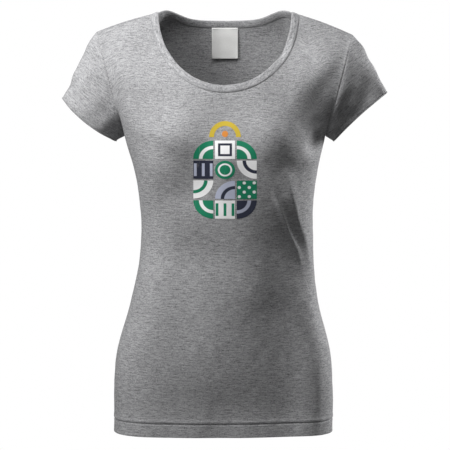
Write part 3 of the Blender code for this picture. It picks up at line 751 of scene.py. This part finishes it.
def neck_line(share):
    """The neck's edge, from the right shoulder over the front and back behind the neck: points, outward
    normals, and directions across the edge into the opening."""
    share = np.asarray(share, float) % 1.0
    inner = 1 - 2 * SHOULDER_SHARE
    front_across = SHOULDER_SHARE + inner * np.clip(2 * share, 0, 1)
    back_across = SHOULDER_SHARE + inner * np.clip(2 - 2 * share, 0, 1)
    in_front = (share <= 0.5)[:, None]
    edges = []
    for facing, across in ((FRONT, front_across), (BACK, back_across)):
        edge, normal = panel_points(facing, across, np.full_like(across, 2.0))
        below = panel_base(facing, across, np.full_like(across, 1.99))
        edges.append((edge, normal, unit(edge - below)))
    (front_edge, front_normal, front_in), (back_edge, back_normal, back_in) = edges
    weight = smooth((0.5 - np.abs(share - 0.25) * 2) / 0.08 * 0.5 + 0.5)[:, None]
    normal = unit(between(back_normal, front_normal, weight))
    inwards = between(back_in, front_in, weight)
    edge = np.where(in_front, front_edge, back_edge)
    eases = (edge, EDGE_EASE), (normal, NORMAL_EASE), (inwards, INWARD_EASE)
    edge, normal, inwards = (rounded(part, ease) for part, ease in eases)
    on_shoulder = np.exp(-((edge[:, 1:2] / 0.022) ** 2))
    inwards = between(inwards, np.sign(edge[:, :1]) * (-0.92, 0, 0) + (0, 0, 0.35), on_shoulder)
    tangent = unit(np.roll(edge, -1, axis=0) - np.roll(edge, 1, axis=0))
    inwards = unit(inwards - tangent * (inwards * tangent).sum(axis=1, keepdims=True))
    crossing = unit(np.cross(inwards, tangent))
    normal = crossing * np.sign((crossing * normal).sum(axis=1, keepdims=True))
    return edge, normal, inwards


def eased(share, power):
    return np.sign(share) * np.abs(share) ** power


def closed_up(*parts):
    """Each of these tables with its first row again at its end."""
    return (np.concatenate((part, part[:1])) for part in parts)


def rolled_points(edge, normals, sideways, start, width, thickness, raised, wave):
    """A strip's rounded section all along an edge, from start before it, and the distances round it."""
    turn = 2 * np.pi * np.linspace(0, 1, BINDING_SECTION + 1)
    out = eased(np.sin(turn), 0.8)[None, :] * thickness / 2 * wave + raised
    over = (1 - eased(np.cos(turn), 0.75)[None, :]) * width / 2 - start
    points = edge[:, None] + sideways[:, None] * over[..., None] + normals[:, None] * out[..., None]
    return points, np.arange(BINDING_SECTION + 1) * (width + thickness) * 2 / BINDING_SECTION


BINDING_SECTION = 20  # the faces round its section
edge, normal, inwards = closed_up(*neck_line(np.linspace(0, 1, 361)[:-1]))
neck_lengths = lengths_along(edge)
points, round_section = rolled_points(
    edge, normal, inwards, BINDING_LAP, BINDING_WIDTH + BINDING_LAP, BINDING_THICKNESS, 0.0002 - JERSEY / 2,
    1 + 0.05 * ripple(*np.moveaxis(edge, -1, 0), 0.03)[:, None],
)
flat_strip = neck_lengths[:, None], round_section[None, :]
binding = cloth_mesh("neck_binding_roll", points, flat_strip, closed=True)
binding.data.materials.append(jersey("binding_jersey", 160.0))
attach(binding, BODY)
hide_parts("neck_binding")

# The hems are the cloth's own edges, folded inwards and stitched down, 20 mm deep round the body and narrower
# on the sleeves. Only the rounded fold shows from outside, and the turned-up layer shows from below.
FOLD = 0.0011


def turned_hem(name, surface, depth, seed, node):
    """A hem round an opening. surface gives points and outward normals for shares round it and a height above
    its edge, and depth is the hem's height there."""
    round_it = np.linspace(0, 1, 241)
    edge, normal = surface(round_it, 0.0)
    upwards = unit(surface(round_it, 0.002)[0] - edge)
    rows = []
    for angle in np.linspace(0, np.pi, 7):
        rows.append(edge - normal * (FOLD - FOLD * np.cos(angle)) - upwards * FOLD * 0.8 * math.sin(angle))
    for height in np.linspace(0.08, 1, 9):
        point, side = surface(round_it, height * depth)
        rows.append(point - side * (2 * FOLD))
    points = np.array(rows)
    points[:, -1] = points[:, 0]
    round_length, high = lengths_along(edge), lengths_along(points)
    made = cloth_mesh(name, points, (round_length[None, :], -high), closed=True)
    turn_outwards(made, points[:1], -upwards[None])
    thickened(made, JERSEY * 0.8)
    made.data.materials.append(jersey(name + "_jersey", seed))
    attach(made, BODY)
    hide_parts(node)


def body_opening(share, height):
    """The body's lower edge, from the right side seam over the front."""
    up = np.full_like(share, height / SIDE_LENGTH)
    front, front_normal = panel_points(FRONT, np.clip(2 * share, 0, 1), up)
    back, back_normal = panel_points(BACK, np.clip(2 - 2 * share, 0, 1), up)
    in_front = (share <= 0.5)[:, None]
    return np.where(in_front, front, back), np.where(in_front, front_normal, back_normal)


turned_hem("body_hem_fold", body_opening, HEM_DEPTH, 200.0, "body_hem")
for side_name, seed in (("right", 240.0), ("left", 280.0)):

    def sleeve_opening(share, height, side_name=side_name):
        """The sleeve's lower edge, and its points at a share of the sleeve's length above it."""
        points, normals = sleeve_points(side_name, share[None, :], np.full((1, len(share)), 1 - height))
        return points[0], normals[0]

    name = side_name + "_sleeve_hem"
    turned_hem(name + "_fold", sleeve_opening, 1 - SLEEVE_HEM_SHARE, seed, name)

# The seam allowances lie inside the shirt, pressed to one side and overlocked with slanting loops of thread.
# Down the sides and over the shoulders they lie on the back panel, and round the armholes they stand into the
# sleeves.
ALLOWANCE, ALLOWANCE_THICKNESS = 0.0058, 0.0016
LOOP_PITCH = 0.0022


def overlock(name):
    """Jersey edges covered by slanting loops of grey thread."""
    shade = Shade(bpy.data.materials.new(name))
    place, along, over = shade.cloth_place()
    loops = waves(along + over * 0.35, LOOP_PITCH) * 0.5 + 0.5
    fuzz = shade.noise(place, (900, 900), 2.0)
    share = (loops.above(0.25, 0.75) * 0.7 + (fuzz - 0.5) * 0.6).math("MAXIMUM", 0.0).math("MINIMUM", 1.0)
    colour = shade.mix(share, (0.16, 0.16, 0.17), (0.46, 0.46, 0.48))
    return shade.finish(colour, 0.9, loops + fuzz * 0.4, 0.0004, sheen=0.1, specular=0.15)


overlock_thread = overlock("overlock_thread")


def allowance(name, root, sideways, normals, node):
    """A flat strip of seam allowance from its root line, sideways, with a wavy free edge."""
    turn = 2 * np.pi * np.linspace(0, 1, 15)
    lengths = lengths_along(root)
    wave = 1 + 0.10 * np.sin(2 * np.pi * lengths / LOOP_PITCH)[:, None]
    curl = 0.0003 * ripple(*np.moveaxis(root, -1, 0), 0.03)[:, None]
    over = (1 - eased(np.cos(turn), 0.7)[None, :]) * ALLOWANCE / 2
    out = eased(np.sin(turn), 0.7)[None, :] * ALLOWANCE_THICKNESS / 2 * wave + curl * over / ALLOWANCE
    points = root[:, None] + sideways[:, None] * over[..., None] + normals[:, None] * out[..., None]
    around = np.linspace(0, 2 * (ALLOWANCE + ALLOWANCE_THICKNESS), 15)
    made = cloth_mesh(name, points, (lengths[:, None], around[None, :]), closed=True, caps=True)
    made.data.materials.append(overlock_thread)
    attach(made, BODY)
    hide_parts(node)


INSIDE = JERSEY + ALLOWANCE_THICKNESS / 2 + 0.0003
for side_name, edge_across, step in (("right", 0.0, 0.02), ("left", 1.0, -0.02)):
    # Down the side
    up = np.linspace((HEM_DEPTH + 0.004) / SIDE_LENGTH, 0.985, 220)
    root, normal = panel_points(BACK, np.full_like(up, edge_across), up, -INSIDE)
    inner, _ = panel_points(BACK, np.full_like(up, edge_across + step), up, -INSIDE)
    allowance(side_name + "_side_seam_overlock", root, unit(inner - root), normal, side_name + "_side_seam")
    # Over the shoulder
    across = edge_across + np.sign(step) * np.linspace(0.012, SHOULDER_SHARE - 0.008, 70)
    root, normal = panel_points(BACK, across, np.full_like(across, 2.0), -INSIDE)
    inner, _ = panel_points(BACK, across, np.full_like(across, 1.96), -INSIDE)
    name = side_name + "_shoulder_seam"
    allowance(name + "_overlock", root, unit(inner - root), normal, name)
    # Round the armhole
    around = np.linspace(0, 1, 241)[:-1]
    along = np.zeros((1, len(around)))
    root, normal = (part[0] for part in sleeve_points(side_name, around[None, :], along, -INSIDE))
    further, _ = sleeve_points(side_name, around[None, :], along + 0.05, -INSIDE)
    root, normal, into = closed_up(root, normal, unit(further[0] - root))
    stand = unit(into * 0.85 - normal * 0.5)
    across_it = unit(normal * 0.85 + into * 0.5)
    allowance(side_name + "_armhole_seam_overlock", root, stand, across_it, side_name + "_armhole_seam")

# The label is a bare rectangle of pale satin, sewn inside the back of the neck along its top edge and at its
# corners. It hangs a little clear of the back panel and throws a fine shadow.
LABEL_WIDTH, LABEL_HEIGHT, LABEL_THICKNESS = 0.040, 0.047, 0.00036
LABEL_TOP = -0.0183
LABEL_OFF, LABEL_LOW_OFF, LABEL_CURL, LABEL_WAVE = 0.0010, 0.0016, 0.0012, 0.0005  # how far it stands off


def depth_behind(tree, x, z, from_y):
    """Where a line backwards from from_y meets a surface."""
    return tree.ray_cast(Vector((x, from_y, z)), Vector((0, 1, 0)))[0].y


back_tree = BVHTree.FromObject(back_panel, bpy.context.evaluated_depsgraph_get())
label_x = np.linspace(-LABEL_WIDTH / 2, LABEL_WIDTH / 2, 33)
label_z = np.linspace(LABEL_TOP, LABEL_TOP - LABEL_HEIGHT, 37)
label_points = np.array([[(x, depth_behind(back_tree, x, z, 0.0), z) for x in label_x] for z in label_z])
down_share = np.linspace(0, 1, len(label_z))[:, None]
curl = LABEL_CURL * np.abs(label_x / LABEL_WIDTH * 2) ** 3 + LABEL_WAVE * np.sin(label_x * 160 + 1)
label_points[..., 1] -= LABEL_OFF + down_share * (LABEL_LOW_OFF + curl)
label = cloth_mesh("neck_label_satin", label_points, (label_x[None, :], label_z[:, None]))
turn_outwards(label, label_points, np.zeros_like(label_points) + (0, -1, 0))
thickened(label, LABEL_THICKNESS)
shade = Shade(bpy.data.materials.new("label_satin"))
place, across, up = shade.cloth_place()
rib, fuzz = waves(up, 0.0011), shade.noise(place, (500, 900), 2.0, 3.0)
cloud = shade.noise(place, (45, 60), 2.0, 5.0)
tone = 0.5 + (fuzz - 0.5) * 0.8 + (cloud - 0.5) * 0.6
satin = shade.mix(tone, (0.74, 0.74, 0.725), (0.92, 0.92, 0.905))
roughness = 0.55 + (cloud - 0.5) * 0.2
label.data.materials.append(shade.finish(satin, roughness, rib * 0.5 + fuzz, 0.0001, sheen=0.2, specular=0.3))
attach(label, BODY)
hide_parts("neck_label")

# The stitching is grey polyester thread: a twin row round the body hem, one row round each sleeve, one along
# the neck binding, one on each shoulder seam, and a few stitches across the label's top corners. On the right
# shoulder the stitches are painted near-black instead, as painted shade for the seam's shadow along the top
# edge.
STITCH_THICKNESS = 0.00042
# The near-black thread is painted shade: the grey thread darkened for the shadow at the right shoulder seam
GREY_THREAD, PAINTED_SHADE_THREAD = (0.40, 0.40, 0.42), (0.035, 0.035, 0.038)


def sewing_thread(name, colour):
    shade = Shade(bpy.data.materials.new(name))
    twist = shade.noise(shade.object_place(), (1500, 1500), 1.0)
    dark, pale = (tuple(part * factor for part in colour) for factor in (0.7, 1.25))
    return shade.finish(shade.mix(twist, dark, pale), 0.6, twist, 0.0001, specular=0.3)


grey_thread = sewing_thread("grey_thread", GREY_THREAD)


def stitch_row(name, points, normals, pitch, length, material):
    """Stitches laid along a line, each a small six-sided spindle."""
    lengths = lengths_along(points)

    def at(distance, table):
        return np.stack([np.interp(distance, lengths, table[:, k]) for k in range(3)], axis=-1)

    rows = bmesh.new()
    for middle in np.arange(pitch / 2, lengths[-1], pitch):
        first, last = at(middle - length / 2, points), at(middle + length / 2, points)
        out, along = unit(at(middle, normals)), unit(last - first)
        place = Matrix(np.column_stack((np.cross(along, out), out, along)).tolist()).to_4x4()
        place.translation = Vector((first + last) / 2 + out * STITCH_THICKNESS * 0.25)
        shape = place @ Matrix.Diagonal((STITCH_THICKNESS, STITCH_THICKNESS, length, 1))
        bmesh.ops.create_icosphere(rows, subdivisions=1, radius=0.5, matrix=shape)
    mesh = bpy.data.meshes.new(name)
    rows.to_mesh(mesh)
    rows.free()
    mesh.shade_smooth()
    made = linked(name, mesh)
    mesh.materials.append(material)
    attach(made, BODY)


loop = np.linspace(0, 1, 721)
for number, height in enumerate((HEM_DEPTH + 0.0008, HEM_DEPTH - 0.0042), 1):
    line, normal = body_opening(loop, height)
    stitch_row(f"body_hem_stitches_{number}", line, normal, 0.0031, 0.0026, grey_thread)
for side_name in SLEEVES:
    along = np.full((1, 361), SLEEVE_HEM_SHARE)
    line, normal = (part[0] for part in sleeve_points(side_name, np.linspace(0, 1, 361)[None, :], along))
    stitch_row(side_name + "_sleeve_hem_stitches", line, normal, 0.0031, 0.0026, grey_thread)
edge, normal, inwards = closed_up(*neck_line(loop[:-1]))
line = edge + inwards * 0.0002 + normal * (BINDING_THICKNESS * 0.36)
stitch_row("neck_binding_stitches", line, normal, 0.0029, 0.0023, grey_thread)
# The right shoulder's stitches get the near-black painted-shade thread, and the left's the plain grey one
for side_name, edge_across, sign, row, colour in (
    ("right", 0.0, 1, 1.996, PAINTED_SHADE_THREAD), ("left", 1.0, -1, 1.988, GREY_THREAD)
):
    across = edge_across + sign * np.linspace(0.004, SHOULDER_SHARE - 0.004, 120)
    line, normal = panel_points(BACK, across, np.full_like(across, row))
    thread = sewing_thread(side_name + "_shoulder_thread", colour)
    stitch_row(side_name + "_shoulder_stitches", line, normal, 0.0030, 0.0025, thread)
for number, (start, end) in enumerate(((-0.019, -0.010), (0.010, 0.019)), 1):
    across = np.linspace(start, end, 12)
    depth = np.interp(across, label_x, label_points[1, :, 1]) - 0.0001
    line = np.stack((across, depth, np.full_like(across, LABEL_TOP - 0.0016)), axis=-1)
    forward = np.zeros_like(line) + (0, -1, 0)
    stitch_row(f"label_stitches_{number}", line, forward, 0.0022, 0.0017, grey_thread)

# The chest print is a block of quarter discs, discs and squares in flexible ink, with an arch and a dot over
# it. The ink is pressed into the front panel as a thin film, so it follows the folds and lets the knit show
# through.
TILE_WIDTH, TILE_HEIGHT, TILE_SPACE = 0.029, 0.0265, 0.0025
PRINT_TOP = -0.186
ARCH_OUTER, ARCH_INNER, ARCH_RISE, DOT_RADIUS = 0.023, 0.016, 0.005, 0.0045
INK_STANDS, INK_THICKNESS = 0.00022, 0.00018
INKS = {
    "green": (0.004, 0.190, 0.095), "white": (0.93, 0.93, 0.93), "navy": (0.008, 0.011, 0.026),
    "lilac": (0.50, 0.53, 0.66), "amber": (0.62, 0.22, 0.03), "gold": (0.55, 0.40, 0.03),
}
# Column, row, shape, whether it is turned sideways and up, its ink, and the ink and pattern of its marks
TILES = (
    (0, 0, "quarter", True, False, "green", "white", "rings"),
    (1, 0, "square", False, False, "white", "navy", "frame"),
    (2, 0, "quarter", False, False, "green", "white", "rings"),
    (0, 1, "square", False, False, "navy", "lilac", "bars"),
    (1, 1, "disc", False, False, "green", "white", "rings"),
    (2, 1, "quarter", True, True, "white", "navy", "rings"),
    (0, 2, "quarter", False, True, "white", "green", "rings"),
    (1, 2, "quarter", True, False, "lilac", "navy", "rings"),
    (2, 2, "square", False, False, "green", "white", "dots"),
    (0, 3, "quarter", True, True, "green", "white", "rings"),
    (1, 3, "square", False, False, "white", "green", "bars"),
    (2, 3, "quarter", False, True, "navy", "lilac", "rings"),
)
front_tree = BVHTree.FromObject(front_panel, bpy.context.evaluated_depsgraph_get())


def marks(pattern, x, y):
    """Where a tile's marks are, over its own places from 0 to 1, or from -1 to 1 on a disc."""
    if pattern == "rings":
        distance = (x * x + y * y).math("SQRT")
        return distance.above(0.52, 0.55) * (1 - distance.above(0.70, 0.73))
    if pattern == "bars":
        return waves(x, 1 / 2.5).above(0.35, 0.55) * y.above(0.14, 0.16) * (1 - y.above(0.84, 0.86))
    if pattern == "dots":
        return (waves(x, 1 / 2) * waves(y, 1 / 2)).above(0.45, 0.60)
    if pattern == "frame":
        reach = (x - 0.5).math("ABSOLUTE").math("MAXIMUM", (y - 0.5).math("ABSOLUTE"))
        return reach.above(0.22, 0.24) * (1 - reach.above(0.34, 0.36))
    return 0.0


def ink(name, colour, second, pattern):
    """Matt ink with a finer pattern of a second colour, and the heather's knit showing faintly through."""
    shade = Shade(bpy.data.materials.new(name))
    _, x, y = shade.cloth_place()
    worn = shade.noise(shade.object_place(), (420, 420), 3.0, 2.0)
    knit = shade.noise(shade.object_place(), (900, 900), 2.0, 4.0)
    tone = shade.mix(marks(pattern, x, y), INKS[colour], INKS[second])
    tone = shade.mix(worn.above(0.62, 0.80) * 0.35, tone, (0.42, 0.42, 0.43))
    return shade.finish(tone, 0.62 + (worn - 0.5) * 0.2, knit, 0.00012, specular=0.3)


def unit_places(shape, count=17):
    """A grid of places in the square from 0 to 1, bent to fill this shape."""
    share = np.linspace(0, 1, count)
    across, up = np.meshgrid(share, share)
    if shape == "square":
        return np.stack((across, up), axis=2)
    if shape == "disc":
        across, up = 2 * across - 1, 2 * up - 1
    larger = np.maximum(np.abs(across), np.abs(up))
    length = np.hypot(across, up)
    length[length == 0] = 1
    bent = np.stack((across * larger / length, up * larger / length), axis=2)
    return (bent + 1) / 2 if shape == "disc" else bent


def printed(name, places, own_places, colour, second, pattern, node):
    """Lays a film of ink on the front panel at these places."""
    points = np.array(
        [[(x, depth_behind(front_tree, x, z, -0.3) - INK_STANDS, z) for x, z in row] for row in places]
    )
    made = cloth_mesh(name, points, (own_places[..., 0], own_places[..., 1]))
    turn_outwards(made, points, np.zeros_like(points) + (0, -1, 0))
    thickened(made, INK_THICKNESS)
    made.modifiers.new("crisp rim", "EDGE_SPLIT").split_angle = math.radians(50)
    made.data.materials.append(ink(name + "_ink", colour, second, pattern))
    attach(made, BODY)
    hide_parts(node)
    "print_" + colour


for number, (column, row, shape, turn_across, turn_up, *inks) in enumerate(TILES, 1):
    own = unit_places(shape)
    places = own.copy()
    if turn_across:
        places[..., 0] = 1 - places[..., 0]
    if turn_up:
        places[..., 1] = 1 - places[..., 1]
    left = (column - 1) * (TILE_WIDTH + TILE_SPACE) - TILE_WIDTH / 2
    low = PRINT_TOP - row * (TILE_HEIGHT + TILE_SPACE) - TILE_HEIGHT
    places = np.array((left, low)) + places * np.array((TILE_WIDTH, TILE_HEIGHT))
    own = 2 * own - 1 if shape == "disc" else own
    printed(f"print_ink_{number:02d}", places, own, *inks, f"print_tile_{number:02d}")
turn = np.linspace(0, np.pi, 41)[None, :]
radius = np.linspace(ARCH_INNER, ARCH_OUTER, 7)[:, None]
arch = np.stack((radius * np.cos(turn), radius * np.sin(turn) + ARCH_RISE + PRINT_TOP), axis=2)
arch_own = np.stack(np.broadcast_arrays(turn / 2, radius / ARCH_OUTER), axis=2)
printed("print_ink_arch", arch, arch_own, "gold", "navy", "plain", "print_arch")
dot_own = 2 * unit_places("disc", 9) - 1
dot = dot_own * DOT_RADIUS + (0, ARCH_RISE + DOT_RADIUS + PRINT_TOP)
printed("print_ink_dot", dot, dot_own, "amber", "gold", "plain", "print_dot")

# The studio: a plain pale floor well under the hem that fades into plain white all round. A large soft lamp
# stands at the upper left in front, a second one over the front, and a third one at the right and behind
# draws out the right edge and the folds.
FLOOR_Z, FLOOR_SIZE = -1.4, 2.0
FADE_START, FADE_END = 0.05, 0.85  # distances from the floor's middle
FLOOR_GREY, SHOWN_SHARE = 0.5, 0.75  # its own colour, and how white its middle is seen
AMBIENT = 0.075
PURE_WHITE = (1, 1, 1, 1)


def seen_rays(shade):
    """1 for what the camera sees, also in a reflection or through something clear."""
    camera, glossy, clear = (
        shade.node("LightPath", out=f"Is {kind} Ray") for kind in ("Camera", "Glossy", "Transmission")
    )
    return camera.math("MAXIMUM", glossy).math("MAXIMUM", clear)


floor_grid = bmesh.new()
floor_place = Matrix.Translation((0, 0, FLOOR_Z))
bmesh.ops.create_grid(floor_grid, x_segments=1, y_segments=1, size=FLOOR_SIZE / 2, matrix=floor_place)
floor_mesh = bpy.data.meshes.new("floor")
floor_grid.to_mesh(floor_mesh)
floor_grid.free()
floor = linked("floor", floor_mesh)
shade = Shade(bpy.data.materials.new("floor_white"))
shade.surface.inputs["Base Color"].default_value = (FLOOR_GREY, FLOOR_GREY, FLOOR_GREY, 1)
shade.surface.inputs["Roughness"].default_value = 0.9
sockets = {0: shade.object_place(), 1: (0, 0, FLOOR_Z)}
from_middle = shade.node("VectorMath", {"operation": "DISTANCE"}, sockets, out="Value")
white_share = seen_rays(shade) * (from_middle.above(FADE_START, FADE_END) * (1 - SHOWN_SHARE) + SHOWN_SHARE)
glow = shade.node("Emission", {}, {"Color": PURE_WHITE, "Strength": 1.0})
lit = Value(shade, shade.surface.outputs[0])
top_side = shade.node("MixShader", {}, {0: white_share, 1: lit, 2: glow})
under = shade.node("NewGeometry", out="Backfacing")
both = shade.node("MixShader", {}, {0: under, 1: top_side, 2: shade.node("BsdfTransparent")})
shade.join(both, shade.tree.nodes["Material Output"].inputs["Surface"])
floor_mesh.materials.append(shade.owner)
floor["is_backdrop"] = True

studio = Shade(bpy.data.worlds.new("studio"))
bpy.context.scene.world = studio.owner
lit, shown = (
    studio.node("Background", {}, {"Color": PURE_WHITE, "Strength": strength}) for strength in (AMBIENT, 1.0)
)
both = studio.node("MixShader", {}, {0: seen_rays(studio), 1: lit, 2: shown})
studio.join(both, studio.tree.nodes["World Output"].inputs["Surface"])

# Place, target, power in watts, width and height
LAMPS = {
    "key": ((-0.95, -0.58, 0.50), (-0.03, 0, -0.22), 17.4, 0.6, 0.6),
    "top": ((0.0, -0.58, 1.00), (0, 0.02, -0.05), 11.5, 0.6, 0.4),
    "rim": ((1.30, 0.66, 0.10), (0.08, 0, -0.20), 28, 0.3, 0.8),
}
for name, (place, target, power, width, height) in LAMPS.items():
    light = bpy.data.lights.new(name, "AREA")
    light.shape, light.size, light.size_y, light.energy = "RECTANGLE", width, height, power
    lamp = linked(name, light)
    lamp.location = place
    lamp.rotation_euler = (Vector(target) - Vector(place)).to_track_quat("-Z", "Y").to_euler()

CAMERA_AWAY, CAMERA_Z, CAMERA_TILT = 3.1, -0.115, 3.7  # the tilt is downwards, in degrees
SHOWN_WIDTH, SENSOR = 0.675, 36  # the width that the picture takes in at the shirt, and the sensor's in mm
camera = linked("camera", bpy.data.cameras.new("camera"))
camera.data.sensor_width = SENSOR
camera.data.lens = SENSOR * CAMERA_AWAY / SHOWN_WIDTH
camera.location = (0, -CAMERA_AWAY, CAMERA_Z)
camera.rotation_euler = (math.radians(90 - CAMERA_TILT), 0, 0)
bpy.context.scene.camera = camera
bpy.context.scene.view_settings.view_transform = "Standard"

low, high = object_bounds()
